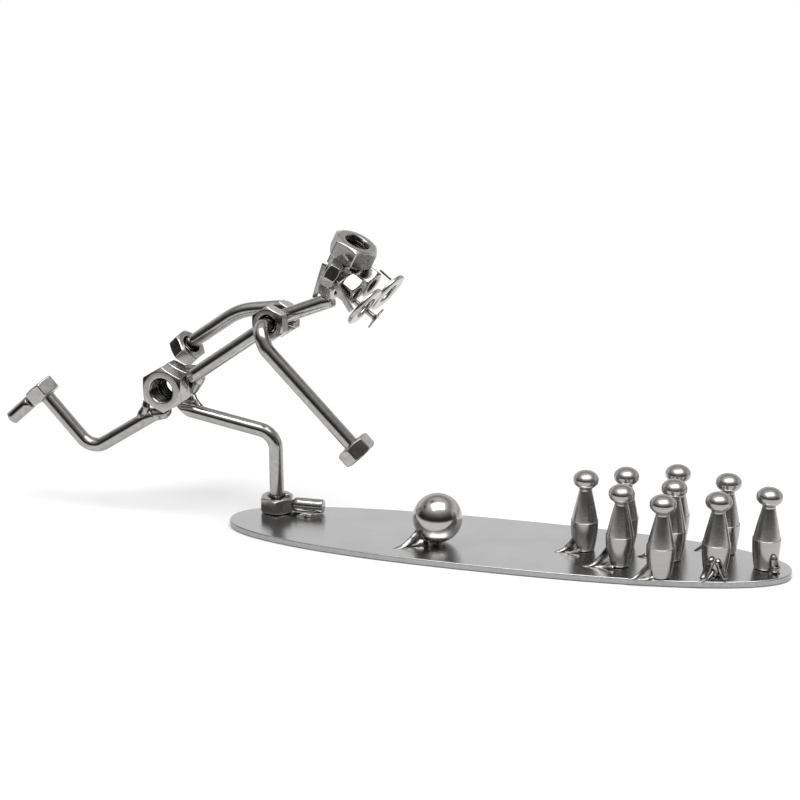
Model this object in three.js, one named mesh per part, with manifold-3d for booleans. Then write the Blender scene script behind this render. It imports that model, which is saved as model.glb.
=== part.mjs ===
// A desk trophy: a bowler put together from hex nuts and bent steel rod, who has
// just let a ball go at nine turned pins on an oval plate.
// Millimetres, +Z up. The plate's long axis is X and the bowler faces +X.
// The origin is the middle of the plate's underside.
import * as THREE from 'three'
import { mergeVertices } from 'three/addons/utils/BufferGeometryUtils.js'
import Module from 'manifold-3d'

const wasm = await Module()
wasm.setup()

// ---------------------------------------------------------------- driving sizes
const GAP = 0.3 // clearance left where two pieces touch and are welded

const PLATE = { length: 228.6, width: 51, thick: 2.5, roundness: 2.31, bevel: 0.35 }
const ROD = 6 // diameter of the round bar
const BALL = { diameter: 20, x: -24.4, y: -5.8 }

// Hexagon nuts: width across flats, height, bore, mouth of the bore, turned face
const M10 = { flats: 17, height: 8, bore: 8.9, mouth: 10.8, face: 15.8 }
const M8 = { flats: 13, height: 6.5, bore: 6.9, mouth: 8.4, face: 12.2 }
const M6 = { flats: 10, height: 5, bore: 5.1, mouth: 6.4, face: 9.4 }
const EYE_NUT = { flats: 11.4, height: 6, bore: 5.1, mouth: 6.4, face: 10.8 }
const WASHER = { outer: 18, inner: 9, thick: 1.5 }
const STRIP = { width: 2.2, thick: 0.9 } // flat bar of the spectacle arms
const NAIL = { shank: 2.2, length: 13, head: 9.8, headThick: 0.9 }

// Nine pins in a diamond: rows of one, two, three, two and one
const PIN = { height: 32.6, base: 8.6, ring: 11, ringZ: 12.1, neck: 5.2, neckZ: 24.6,
  head: 10.2, headZ: 28.9, headHalf: 3.75 }
const PIN_SPOTS = [
  [33.5, 1.7],
  [49.1, -10.5], [48.4, 9.3],
  [65.6, -17.9], [68, 0.3], [67.7, 17.4],
  [85.7, -9.6], [87.8, 12.1],
  [104, 0.4],
]
// Which way each pin's weld lies from the pin: degrees round from +X
const PIN_WELD_TURN = [190, 195, 110, 190, 150, 120, 265, 60, 330]

// Where the bowler's middle plane stands, and the points its rods turn about
const MID_Y = 6
const HIP = new THREE.Vector3(-142.2, MID_Y, 55.2)
const SHOULDER = new THREE.Vector3(-94.6, MID_Y, 86.3)
const HIP_TILT = 4 // degrees that the hip axis rises towards the near side
const SHOULDER_TILT = 6
const FOOT = new THREE.Vector3(-97.8, 10.8, 0)
const BEND = 8 // radius of the rods' bends, on the centre line

// Head: where the two eye nuts meet, and how it is turned and bowed, degrees
const HEAD = { x: -59.4, y: 5.2, z: 103.4, roll: 5, bow: 31.5, turn: -12 }
const SKULL = { x: -61.9, y: 6.4, z: 117.15, roll: 0, bow: 27.5, turn: -12 }
const FACE = { x: -52.4, y: 5.2, z: 98.1, roll: 6.7, bow: 38.6, turn: -9.5 }
const NECK = { x: -69.6, y: 6, z: 103.8, roll: 0, bow: 31.5, turn: -12 }
const NOSE = { x: -55.9, y: 5.2, z: 92.6, roll: 0, bow: 38, turn: 5 }

const PLATE_TOP = PLATE.thick
const rad = THREE.MathUtils.degToRad
const v = (x, y, z) => new THREE.Vector3(x, y, z)
const FORWARD = v(1, 0, 0)
const UP = v(0, 0, 1)

// ---------------------------------------------------------------- finishes
const steel = (color, roughness) =>
  new THREE.MeshStandardMaterial({ color, roughness, metalness: 1 })
const FINISH = {
  plate: steel(0x8e8e8e, 0.42),
  rod: steel(0xb4b4b2, 0.2),
  nut: steel(0xa8a6a4, 0.25),
  turned: steel(0xa09e9c, 0.3),
  ball: steel(0xb0b0b0, 0.28),
  weld: steel(0xc8c8c6, 0.12),
}

const figure = new THREE.Group()

function add(name, geometry, material, parent = figure) {
  const mesh = new THREE.Mesh(geometry, material)
  mesh.name = name
  parent.add(mesh)
  return mesh
}

// A group at a place, rolled, bowed and turned
function placed({ x, y, z, roll, bow, turn }) {
  const group = new THREE.Group()
  group.position.set(x, y, z)
  group.rotation.set(rad(roll), rad(bow), rad(turn), 'ZYX')
  figure.add(group)
  return group
}

// ---------------------------------------------------------------- solid helpers
function toSolid(geometry) {
  const bare = geometry.clone()
  bare.deleteAttribute('normal')
  bare.deleteAttribute('uv')
  const merged = mergeVertices(bare, 1e-4)
  return new wasm.Manifold(new wasm.Mesh({
    numProp: 3,
    vertProperties: Float32Array.from(merged.attributes.position.array),
    triVerts: Uint32Array.from(merged.index.array),
  }))
}

function toGeometry(solid) {
  const mesh = solid.getMesh()
  const geometry = new THREE.BufferGeometry()
  geometry.setAttribute('position', new THREE.BufferAttribute(mesh.vertProperties, 3))
  geometry.setIndex(new THREE.BufferAttribute(mesh.triVerts, 1))
  geometry.computeVertexNormals()
  return geometry
}

// Turned shape about Z: (radius, height) points that start and end on the axis
function turned(points, sides) {
  return new THREE.LatheGeometry(points.map(([r, z]) => new THREE.Vector2(r, z)), sides)
    .rotateX(Math.PI / 2)
}

// Puts a mesh's own Z along `axis`, its own X as near `up` as it goes, then
// turns it by `clock` degrees about the axis
function aim(mesh, centre, axis, up = v(0, 0, 1), clock = 0) {
  const z = axis.clone().normalize()
  const x = up.clone().addScaledVector(z, -up.dot(z)).normalize()
  const y = new THREE.Vector3().crossVectors(z, x)
  mesh.quaternion.setFromRotationMatrix(new THREE.Matrix4().makeBasis(x, y, z))
  mesh.rotateZ(rad(clock))
  mesh.position.copy(centre)
  return mesh
}

// Hex nut centred on the origin, bore along Z, a corner on +X: a hexagonal bar
// turned down at both faces so that its corners fall away at 30 degrees
function nutGeometry({ flats, height, bore, mouth, face }) {
  const sides = 24
  const corner = flats / Math.sqrt(3)
  const half = height / 2
  const fall = (corner + 0.5 - face / 2) * Math.tan(rad(30))
  const hexBar = new THREE.CylinderGeometry(corner, corner, height, 6).rotateY(Math.PI / 2)
    .rotateX(Math.PI / 2)
  const barrel = turned([
    [0, -half], [face / 2, -half], [corner + 0.5, -half + fall],
    [corner + 0.5, half - fall], [face / 2, half], [0, half],
  ], sides)
  const past = 0.5
  const hole = turned([
    [0, -half - past], [mouth / 2 + past, -half - past], [bore / 2, -half + (mouth - bore) / 2],
    [bore / 2, half - (mouth - bore) / 2], [mouth / 2 + past, half + past], [0, half + past],
  ], 16)
  return toGeometry(toSolid(hexBar).intersect(toSolid(barrel)).subtract(toSolid(hole)))
}

// One round bend of a rod, from `start` round `centre`
class Bend extends THREE.Curve {
  constructor(centre, from, to, angle) {
    super()
    Object.assign(this, { centre, from, to, angle })
  }
  getPoint(t, target = new THREE.Vector3()) {
    const turn = this.angle * t
    return target.copy(this.centre).addScaledVector(this.from, Math.cos(turn))
      .addScaledVector(this.to, Math.sin(turn))
  }
}

// Straight runs between the points, joined by round bends of the given radius
function rodPath(points, radius) {
  const path = new THREE.CurvePath()
  let start = points[0]
  for (let i = 1; i < points.length - 1; i++) {
    const inward = points[i].clone().sub(points[i - 1]).normalize()
    const outward = points[i + 1].clone().sub(points[i]).normalize()
    const angle = inward.angleTo(outward)
    const reach = radius * Math.tan(angle / 2)
    const bendStart = points[i].clone().addScaledVector(inward, -reach)
    const bendEnd = points[i].clone().addScaledVector(outward, reach)
    const side = outward.clone().addScaledVector(inward, -outward.dot(inward)).normalize()
    const centre = bendStart.clone().addScaledVector(side, radius)
    path.add(new THREE.LineCurve3(start, bendStart))
    path.add(new Bend(centre, side.clone().multiplyScalar(-radius),
      inward.clone().multiplyScalar(radius), angle))
    start = bendEnd
  }
  path.add(new THREE.LineCurve3(start, points[points.length - 1]))
  return path
}

function circle(diameter, sides) {
  const shape = new THREE.Shape()
  for (let i = 0; i < sides; i++) {
    const a = (i / sides) * 2 * Math.PI
    const [x, y] = [Math.cos(a) * diameter / 2, Math.sin(a) * diameter / 2]
    if (i === 0) shape.moveTo(x, y)
    else shape.lineTo(x, y)
  }
  return shape.closePath()
}

function rodGeometry(points, { radius = BEND, diameter = ROD, steps = 30 } = {}) {
  return new THREE.ExtrudeGeometry(circle(diameter, 10), {
    steps, bevelEnabled: false, extrudePath: rodPath(points, radius),
  })
}

// Straight round bar from one point to another
function bar(name, from, to, diameter, material, parent = figure) {
  const length = from.distanceTo(to)
  const geometry = new THREE.CylinderGeometry(diameter / 2, diameter / 2, length, 20)
    .rotateX(Math.PI / 2)
  const mesh = add(name, geometry, material, parent)
  return aim(mesh, from.clone().lerp(to, 0.5), to.clone().sub(from), v(0, 1, 0.01))
}

// A bead of weld: a squashed ball, longest along `axis`
function bead(name, centre, axis, [long, wide, high], parent = figure) {
  const geometry = new THREE.SphereGeometry(1, 12, 8).scale(high / 2, wide / 2, long / 2)
  return aim(add(name, geometry, FINISH.weld, parent), centre, axis)
}

// A weld that runs out from a wall on to a floor: a triangle with a hollow slope,
// its foot on z = 0, its back on x = 0
function filletGeometry(run, rise, width) {
  const shape = new THREE.Shape()
  shape.moveTo(0, 0)
  shape.lineTo(run, 0)
  shape.quadraticCurveTo(run * 0.25, rise * 0.2, 0, rise)
  shape.closePath()
  return new THREE.ExtrudeGeometry(shape, { depth: width, bevelEnabled: false, curveSegments: 6 })
    .translate(0, 0, -width / 2).rotateX(Math.PI / 2)
}

// ---------------------------------------------------------------- plate
function basePlate() {
  const shape = new THREE.Shape()
  const power = 2 / PLATE.roundness
  const along = (value, half) => Math.sign(value) * Math.abs(value) ** power * half
  const count = 80
  for (let i = 0; i < count; i++) {
    const a = (i / count) * 2 * Math.PI
    const x = along(Math.cos(a), PLATE.length / 2 - PLATE.bevel)
    const y = along(Math.sin(a), PLATE.width / 2 - PLATE.bevel)
    if (i === 0) shape.moveTo(x, y)
    else shape.lineTo(x, y)
  }
  shape.closePath()
  const geometry = new THREE.ExtrudeGeometry(shape, {
    depth: PLATE.thick - 2 * PLATE.bevel, bevelEnabled: true, bevelSegments: 1,
    bevelSize: PLATE.bevel, bevelThickness: PLATE.bevel,
  }).translate(0, 0, PLATE.bevel)
  add('base_plate', geometry, FINISH.plate)
}

// ---------------------------------------------------------------- ball and pins
function ball() {
  const r = BALL.diameter / 2
  const geometry = new THREE.SphereGeometry(r, 26, 16).rotateX(Math.PI / 2)
  add('bowling_ball', geometry, FINISH.ball).position.set(BALL.x, BALL.y, PLATE_TOP + GAP + r)
  const weld = add('ball_weld', filletGeometry(8, 3.2, 5), FINISH.weld)
  weld.position.set(BALL.x - 7.6, BALL.y, PLATE_TOP + GAP)
  weld.rotation.z = Math.PI
}

function pinGeometry() {
  const { height, base, ring, ringZ, neck, neckZ, head, headZ, headHalf } = PIN
  const crown = []
  for (let a = -54; a < 90; a += 24) {
    crown.push([head / 2 * Math.cos(rad(a)), headZ + headHalf * Math.sin(rad(a))])
  }
  return turned([
    [0, 0], [base / 2, 0], [base / 2 + 0.7, ringZ * 0.35], [ring / 2, ringZ * 0.75],
    [ring / 2, ringZ], [ring / 2 - 0.35, ringZ + 0.4], [neck / 2 + 0.3, neckZ],
    [neck / 2, neckZ + 0.6], ...crown, [0, height],
  ], 18)
}

function pins() {
  const shape = pinGeometry()
  const weldShape = filletGeometry(5, 4, 4)
  const standOff = PIN.base / 2 + 0.7
  PIN_SPOTS.forEach(([x, y], i) => {
    add(`pin_${i + 1}`, shape, FINISH.turned).position.set(x, y, PLATE_TOP + GAP)
    const turn = rad(PIN_WELD_TURN[i])
    const weld = add(`pin_weld_${i + 1}`, weldShape, FINISH.weld)
    weld.position.set(x + standOff * Math.cos(turn), y + standOff * Math.sin(turn),
      PLATE_TOP + GAP)
    weld.rotation.z = turn
  })
}

// ---------------------------------------------------------------- hips and shoulders
// Direction from the far nut to the near nut of a pair, tilted about `along`
function pairAxis(along, tilt) {
  return v(0, -1, 0).applyAxisAngle(along.clone().normalize(), rad(tilt))
}

const torsoLine = SHOULDER.clone().sub(HIP)
const hipAxis = pairAxis(torsoLine, -HIP_TILT)
const shoulderAxis = pairAxis(torsoLine, -SHOULDER_TILT)

function hips() {
  const shape = nutGeometry(M10)
  const offset = M10.height / 2 + GAP / 2
  const near = add('right_hip_nut', shape, FINISH.nut)
  aim(near, HIP.clone().addScaledVector(hipAxis, offset), hipAxis, v(0, 0, 1), 2)
  const far = add('left_hip_nut', shape, FINISH.nut)
  aim(far, HIP.clone().addScaledVector(hipAxis, -offset), hipAxis, v(0, 0, 1), 6)
}

const shoulderReach = ROD / 2 + GAP + M8.height // from the middle to a nut's outer face

function shoulders() {
  const shape = nutGeometry(M8)
  const offset = shoulderReach - M8.height / 2
  const near = add('right_shoulder_nut', shape, FINISH.nut)
  aim(near, SHOULDER.clone().addScaledVector(shoulderAxis, offset), shoulderAxis,
    v(0, 0, 1), 4)
  const far = add('left_shoulder_nut', shape, FINISH.nut)
  aim(far, SHOULDER.clone().addScaledVector(shoulderAxis, -offset), shoulderAxis,
    v(0, 0, 1), 4)
}

const TORSO = [v(-132.6, MID_Y, 59.7), v(-92.5, MID_Y, 88.1), v(-70.4, MID_Y, 96.9)]

// The torso's upper end is notched to seat the neck nut
function torso() {
  const notch = new THREE.CylinderGeometry(1, 1, M8.height + 2 * GAP, 6)
  const corner = (M8.flats + 2 * GAP) / Math.sqrt(3)
  notch.scale(corner, 1, corner).rotateX(Math.PI / 2).rotateZ(Math.PI / 6)
  const seat = aim(new THREE.Mesh(notch), v(0, 0, 0), FORWARD, UP, 30)
  placed(NECK).add(seat)
  seat.updateWorldMatrix(true, false)
  const cutter = toSolid(notch.applyMatrix4(seat.matrixWorld))
  seat.removeFromParent()
  const rod = rodGeometry(TORSO, { radius: 20, steps: 24 })
  add('torso_rod', toGeometry(toSolid(rod).subtract(cutter)), FINISH.rod)
}

// ---------------------------------------------------------------- arms
// Slides a hex nut on to the end of a rod: `start` is its first face
function endNut(name, start, direction, clock, up) {
  const along = direction.clone().normalize()
  const centre = start.clone().addScaledVector(along, M8.height / 2)
  return aim(add(name, nutGeometry(M8), FINISH.nut), centre, along, up, clock)
}

function arms() {
  const nearMouth = SHOULDER.clone().addScaledVector(shoulderAxis, shoulderReach)
  const inNear = nearMouth.clone().addScaledVector(shoulderAxis, -4.5)
  const nearTurn = nearMouth.clone().addScaledVector(shoulderAxis, 9)
  const elbow = v(-91.6, -15, 80.2)
  const wrist = v(-57.4, -15, 44.2)
  const nearWay = wrist.clone().sub(elbow).normalize()
  const nearEnd = wrist.clone().addScaledVector(nearWay, 4)
  add('right_arm_rod', rodGeometry([inNear, nearTurn, elbow, nearEnd], { radius: 6.5 }), FINISH.rod)
  endNut('right_hand_nut', wrist, nearWay, 0, v(0, -1, 0))

  const farMouth = SHOULDER.clone().addScaledVector(shoulderAxis, -shoulderReach)
  const inFar = farMouth.clone().addScaledVector(shoulderAxis, 0.8)
  const farTurn = farMouth.clone().addScaledVector(shoulderAxis, -10).add(v(0, 0, 3.1))
  const farElbow = v(-117.4, 26, 84.5)
  const farWrist = v(-138.2, 26, 70)
  add('left_arm_rod', rodGeometry([inFar, farTurn, farElbow, farWrist], { radius: 6.5 }), FINISH.rod)
  endNut('left_hand_nut', v(-139.4, 25.2, 68.6), v(-0.71, 0.2, -0.67), 0, v(0, -1, 0))
}

// ---------------------------------------------------------------- legs
function legs() {
  // Standing leg, under the far hip nut, down into the nut on the plate
  const legY = FOOT.y
  const soleZ = PLATE_TOP + GAP
  const knee = v(FOOT.x, legY, 36.6)
  const shinEnd = v(FOOT.x, legY, soleZ + 1.5)
  add('left_leg_rod', rodGeometry([v(-136.8, legY - 0.6, 44.6), knee, shinEnd]), FINISH.rod)
  const foot = add('left_foot_nut', nutGeometry(M8), FINISH.nut)
  aim(foot, v(FOOT.x, legY, soleZ + M8.height / 2), v(0, 0, 1), v(1, 0, 0), 42)
  const toeStart = FOOT.x + M8.flats / 2 + 1
  bar('left_toe_rod', v(toeStart, legY + 0.6, soleZ + ROD / 2),
    v(toeStart + 12.6, legY + 0.9, soleZ + ROD / 2), ROD, FINISH.rod)

  // Trailing leg, under the near hip nut, kicked back and up
  const backY = 2
  const hipEnd = v(-147.6, backY, 44.1)
  const backKnee = v(-176.8, backY, 25.6)
  const ankle = v(-196.2, backY, 47.6)
  const shinWay = ankle.clone().sub(backKnee).normalize()
  const rodEnd = ankle.clone().addScaledVector(shinWay, 4)
  add('right_leg_rod', rodGeometry([hipEnd, backKnee, rodEnd]), FINISH.rod)
  endNut('right_foot_nut', ankle, shinWay, 30, v(0, -1, 0))
  const soleCentre = ankle.clone().addScaledVector(shinWay, M8.height / 2)
  const toeWay = v(-shinWay.z, 0, shinWay.x)
  bar('right_toe_rod', soleCentre.clone().addScaledVector(toeWay, M8.flats / 2 + 1.4),
    soleCentre.clone().addScaledVector(toeWay, 20), ROD, FINISH.rod)
}

// ---------------------------------------------------------------- head
function head() {
  const group = placed(HEAD)
  const shape = nutGeometry(EYE_NUT)
  const eyeOut = EYE_NUT.flats / 2 + GAP / 2
  aim(add('right_eye_nut', shape, FINISH.nut, group), v(0, -eyeOut, 0), FORWARD)
  aim(add('left_eye_nut', shape, FINISH.nut, group), v(0, eyeOut, 0), FORWARD)
  const neck = placed(NECK)
  aim(add('neck_nut', nutGeometry(M8), FINISH.nut, neck), v(0, 0, 0), FORWARD, UP, 30)
  const ear = nutGeometry(M6)
  aim(add('right_ear_nut', ear, FINISH.nut, neck), v(0.7, -11.8, 8.4), v(0.9, 0.4, -0.06), UP, -25)
  aim(add('left_ear_nut', ear, FINISH.nut, neck), v(-1.2, 12.2, 5), v(0.9, -0.4, -0.06), UP, 25)
  const spacer = new THREE.BoxGeometry(4.2, 4.4, 3.2)
  add('crown_spacer', spacer, FINISH.nut, neck).position.set(-0.5, -2.4, 8.4)
  aim(add('skull_nut', nutGeometry(M10), FINISH.nut, placed(SKULL)), v(0, 0, 0), UP, FORWARD, 1)
}

// Washer centred on the origin, its hole along Z
function washerGeometry() {
  const { outer, inner, thick } = WASHER
  const ring = new THREE.CylinderGeometry(outer / 2, outer / 2, thick, 36).rotateX(Math.PI / 2)
  const hole = new THREE.CylinderGeometry(inner / 2, inner / 2, thick + 2, 24).rotateX(Math.PI / 2)
  return toGeometry(toSolid(ring).subtract(toSolid(hole)))
}

function nailGeometry() {
  const { shank, length, head, headThick } = NAIL
  return turned([
    [0, 0], [shank / 2 - 0.4, 0], [shank / 2, 0.6], [shank / 2, length - headThick - 0.8],
    [head / 2, length - headThick], [head / 2, length], [0, length],
  ], 16)
}

// Flat bar from one point to another, its width as near `across` as it goes
function strip(name, from, to, { width = STRIP.width, across = UP } = {}) {
  const geometry = new THREE.BoxGeometry(width, STRIP.thick, from.distanceTo(to))
  const mesh = add(name, geometry, FINISH.rod)
  return aim(mesh, from.clone().lerp(to, 0.5), to.clone().sub(from), across)
}

function face() {
  const frame = placed(FACE)
  const shape = washerGeometry()
  const apart = WASHER.outer / 2 + GAP / 2
  aim(add('right_lens_ring', shape, FINISH.nut, frame), v(0, -apart, 0), FORWARD)
  aim(add('left_lens_ring', shape, FINISH.nut, frame), v(0, apart, 0), FORWARD)
  const nail = add('nose_nail', nailGeometry(), FINISH.nut, placed(NOSE))
  aim(nail, v(-8.6, 0.3, 0), FORWARD)

  frame.updateMatrixWorld(true)
  strip('right_temple_strip', v(-65.7, -6.2, 107), frame.localToWorld(v(-1.8, -15.6, -1.4)))
  strip('left_temple_strip', v(-53, 13.8, 107.8), frame.localToWorld(v(-2, 9.4, 5.4)),
    { across: v(0.24, -0.92, 0.3) })
}

function nape() {
  strip('nape_strip', v(-79.6, 10.6, 95.8), v(-75.2, 10.6, 110), { width: 3 })
  strip('crown_strip', v(-73.6, 11.6, 110.2), v(-71.7, 11.6, 114))
}

// ---------------------------------------------------------------- welds of the figure
function welds() {
  bead('hip_weld', v(-130.6, 11.4, 55.2), v(0.6, 0.3, 0.5), [6, 2.6, 2.6])
  bead('right_leg_weld', v(-151.4, 2, 48.4), v(0.5, 0, 0.8), [4, 3, 2.2])
  bead('left_leg_weld', v(-130.5, 14, 48.4), v(0.6, 0, -0.6), [5, 2, 1.6])
  bead('foot_weld', v(-82, 7.6, PLATE_TOP + GAP + 0.75), v(1, 0, 0), [10, 2, 1.4])
}

basePlate()
ball()
pins()
hips()
shoulders()
torso()
arms()
legs()
head()
face()
nape()
welds()

export default figure
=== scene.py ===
"""A desk trophy: a bowler of hexagon nuts and bent bar, with a ball and nine pins on a plate.

Lengths are millimetres until a mesh is made. Each surface is a grid of points: rows run along
a profile or a path, columns run round it.
"""
import math

import bmesh
import bpy
import numpy as np
from mathutils import Matrix, Vector


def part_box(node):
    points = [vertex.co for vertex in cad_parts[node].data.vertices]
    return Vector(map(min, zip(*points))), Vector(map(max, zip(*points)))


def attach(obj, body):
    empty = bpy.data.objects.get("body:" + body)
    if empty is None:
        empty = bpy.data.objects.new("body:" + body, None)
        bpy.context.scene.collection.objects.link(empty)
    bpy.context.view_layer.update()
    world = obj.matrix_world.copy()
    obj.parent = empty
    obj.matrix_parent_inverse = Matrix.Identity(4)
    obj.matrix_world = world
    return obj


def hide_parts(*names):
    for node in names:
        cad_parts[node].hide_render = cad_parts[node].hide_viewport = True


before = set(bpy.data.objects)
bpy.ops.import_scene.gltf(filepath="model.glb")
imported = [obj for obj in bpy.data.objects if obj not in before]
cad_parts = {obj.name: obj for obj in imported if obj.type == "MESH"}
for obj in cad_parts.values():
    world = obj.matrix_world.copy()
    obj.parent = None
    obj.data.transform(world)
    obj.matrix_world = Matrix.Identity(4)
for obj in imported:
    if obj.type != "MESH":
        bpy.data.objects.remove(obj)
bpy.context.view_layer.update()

MM = 0.001
TAU = 2 * math.pi


# ---------------------------------------------------------------- arithmetic
def unit(vector):
    """A vector of length one."""
    vector = np.asarray(vector, float)
    return vector / np.linalg.norm(vector)


def along_local(grid, centre, x_way, y_way, z_way):
    """Carries a grid from a piece's own axes to its place."""
    return np.asarray(centre) + grid @ np.array([x_way, y_way, z_way])


def ripple(u, v, seed, count=5, finest=3):
    """Smooth lumps from -1 to 1: a sum of sine waves of seeded size, way and phase."""
    rng = np.random.default_rng(seed)
    total = 0
    for _ in range(count):
        a, b = rng.integers(1, finest, 2)
        phase, way = rng.uniform(0, TAU), rng.choice([-1, 1])
        total = total + rng.uniform(0.4, 1) * np.sin(a * u * way + b * v + phase) / count ** 0.5
    return total


# ---------------------------------------------------------------- meshes
def grid_shell(points, local):
    """One closed mesh of quads over a grid that joins up round its columns and, if its first
    and last rows don't close on themselves, round its rows too."""
    rows, columns = points.shape[:2]
    ring = np.ptp(points[0], axis=0).max() > 1e-6
    last = rows if ring else rows - 1
    i, j = np.meshgrid(np.arange(last), np.arange(columns), indexing="ij")
    below, right = (i + 1) % rows, (j + 1) % columns
    quads = np.stack([i * columns + j, i * columns + right,
                      below * columns + right, below * columns + j], -1).reshape(-1, 4)
    return points.reshape(-1, 3), quads, local.reshape(-1, 3)


def piece(name, shells, material, replaces=()):
    """A mesh object made from closed shells, riding on the frame. Its `local` attribute keeps
    the piece's own coordinates in metres, for patterns that follow the surface."""
    starts = np.cumsum([0] + [len(s[0]) for s in shells])
    points = np.concatenate([s[0] for s in shells]) * MM
    quads = np.concatenate([s[1] + start for s, start in zip(shells, starts)])
    local = np.concatenate([s[2] for s in shells]) * MM
    mesh = bpy.data.meshes.new(name)
    mesh.from_pydata(points, [], quads)
    mesh.attributes.new("local", "FLOAT_VECTOR", "POINT").data.foreach_set("vector", local.ravel())
    cleaner = bmesh.new()
    cleaner.from_mesh(mesh)
    bmesh.ops.remove_doubles(cleaner, verts=cleaner.verts, dist=2e-7)
    bmesh.ops.dissolve_degenerate(cleaner, edges=cleaner.edges, dist=1e-8)
    bmesh.ops.recalc_face_normals(cleaner, faces=cleaner.faces)
    cleaner.to_mesh(mesh)
    cleaner.free()
    mesh.shade_smooth()
    mesh.set_sharp_from_angle(angle=math.radians(48))
    mesh.materials.append(material)
    thing = bpy.data.objects.new(name, mesh)
    bpy.context.scene.collection.objects.link(thing)
    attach(thing, "root")
    for node in replaces:
        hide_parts(node)
    return thing


def own_axes(node):
    """Where a CAD node lies: its centre, its three own ways from its shortest to its longest
    extent, and the node's corners (millimetres), from the spread of its corners."""
    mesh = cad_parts[node].data
    flat = np.zeros(len(mesh.vertices) * 3)
    mesh.vertices.foreach_get("co", flat)
    corners = np.unique(np.round(flat.reshape(-1, 3) / MM, 3), axis=0)
    middle = corners.mean(0)
    _, ways = np.linalg.eigh(np.cov((corners - middle).T))
    reach = (corners - middle) @ ways
    centre = middle + ways @ ((reach.max(0) + reach.min(0)) / 2)
    return centre, ways.T, corners


# ---------------------------------------------------------------- nuts
SECTOR = np.array([0, 0.5, 1.2, 2.6, 5, 9, 14, 20, 25, 30, 35, 40, 46, 51, 55, 57.4, 58.8, 59.5])
NUT_TURN = np.radians((np.arange(6)[:, None] * 60 + SECTOR).ravel())


def nut_local(flats, height, bore, mouth, face, pitch):
    """A hexagon nut about its own axis. Outside, the radius is the distance to the nearest
    flat, rounded off at the corners. Each corner of the face falls at 30 degrees outside the
    turned face, so the chamfer meets the flats in curves. Inside, the radius goes out and in
    with height over pitch minus turn, which is a screw thread, and a countersink cuts its ends."""
    turn = NUT_TURN
    half = height / 2
    flat = flats / 2 / np.cos(np.radians(30) - np.mod(turn, np.radians(60)))
    outer = np.minimum(flat, flats / math.sqrt(3) - 0.12)
    slope = math.tan(math.radians(30))
    soft = 0.14
    edge = half - np.maximum(outer - face / 2, 0.02) * slope
    steady = np.ones_like(turn)
    rows = []
    for share in np.linspace(-0.9, 0.9, 5):
        rows.append((outer, edge * share))
    rows[0] = (outer, -edge + soft * 2.5)
    rows[-1] = (outer, edge - soft * 2.5)
    inward = outer - soft
    top = [(outer, edge - soft), (outer - soft * 0.35, edge - soft * 0.2),
           (np.maximum(inward, face / 2 + 0.01), edge + soft * 0.55),
           (np.maximum(outer - soft * 3, face / 2 + 0.005), edge + soft * 3 * slope),
           ((face / 2 + 0.1) * steady, (half - 0.07) * steady),
           ((face / 2 - 0.02) * steady, (half - 0.012) * steady),
           ((face / 2 - 0.3) * steady, half * steady),
           ((mouth / 2 + 0.3) * steady, half * steady),
           ((mouth / 2 + 0.03) * steady, (half - 0.012) * steady),
           ((mouth / 2 - 0.08) * steady, (half - 0.09) * steady)]
    top = [(r, np.minimum(z, half)) for r, z in top]
    rows += top
    deep = pitch * 0.6
    minor = bore / 2 - 0.05
    for z in np.linspace(half - 0.2, -half + 0.2, int(height / pitch * 11)):
        climb = np.mod(z / pitch - turn / TAU, 1)
        tooth = np.clip((1 - np.abs(2 * climb - 1) - 0.14) / 0.72, 0, 1)
        sink = mouth / 2 - (half - abs(z)) * 0.8
        rows.append((np.maximum(minor + deep * tooth, sink), z * steady))
    rows += [(r, -z) for r, z in reversed(top)]
    radius = np.array([r for r, _ in rows])
    z = np.array([h for _, h in rows])
    return np.stack([radius * np.cos(turn), radius * np.sin(turn), z], -1)


M10 = nut_local(17, 8, 8.9, 10.8, 15.8, 1.5)
M8 = nut_local(13, 6.5, 6.9, 8.4, 12.2, 1.25)
EYE = nut_local(11.4, 6, 5.1, 6.4, 10.8, 1)
EAR = nut_local(10, 5, 5.1, 6.4, 9.4, 1)
# A coarser pitch than the real 1.5 mm, so that the thread shows in the wide bore
HIP = nut_local(17, 8, 8.9, 10.8, 15.8, 2)


def nut(node, shape):
    """A threaded nut where the plain CAD nut is: its axis is the node's shortest way, and one
    corner points at the node's farthest corner."""
    centre, ways, corners = own_axes(node)
    axis = ways[0]
    off = corners - centre
    off = off - np.outer(off @ axis, axis)
    corner = unit(off[np.argmax(np.linalg.norm(off, axis=1))])
    place = along_local(shape, centre, corner, np.cross(axis, corner), axis)
    made = piece(node.replace("_nut", "_hex_nut"), [grid_shell(place, shape)], PLATED,
                 [node])
    # The `bore` attribute is 1 in the threads and 0 outside them: it marks where the threads are
    # painted dark as shade
    local = np.zeros(len(made.data.vertices) * 3)
    made.data.attributes["local"].data.foreach_get("vector", local)
    radius = np.linalg.norm(local.reshape(-1, 3)[:, :2], axis=1) / MM
    on_face = shape[..., 2] > shape[..., 2].max() - 1e-6
    mouth = np.linalg.norm(shape[..., :2], axis=-1)[on_face].min()
    bore = np.clip((mouth - 0.35 - radius) / 0.4, 0, 1)
    made.data.attributes.new("bore", "FLOAT", "POINT").data.foreach_set("value", bore)


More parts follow.
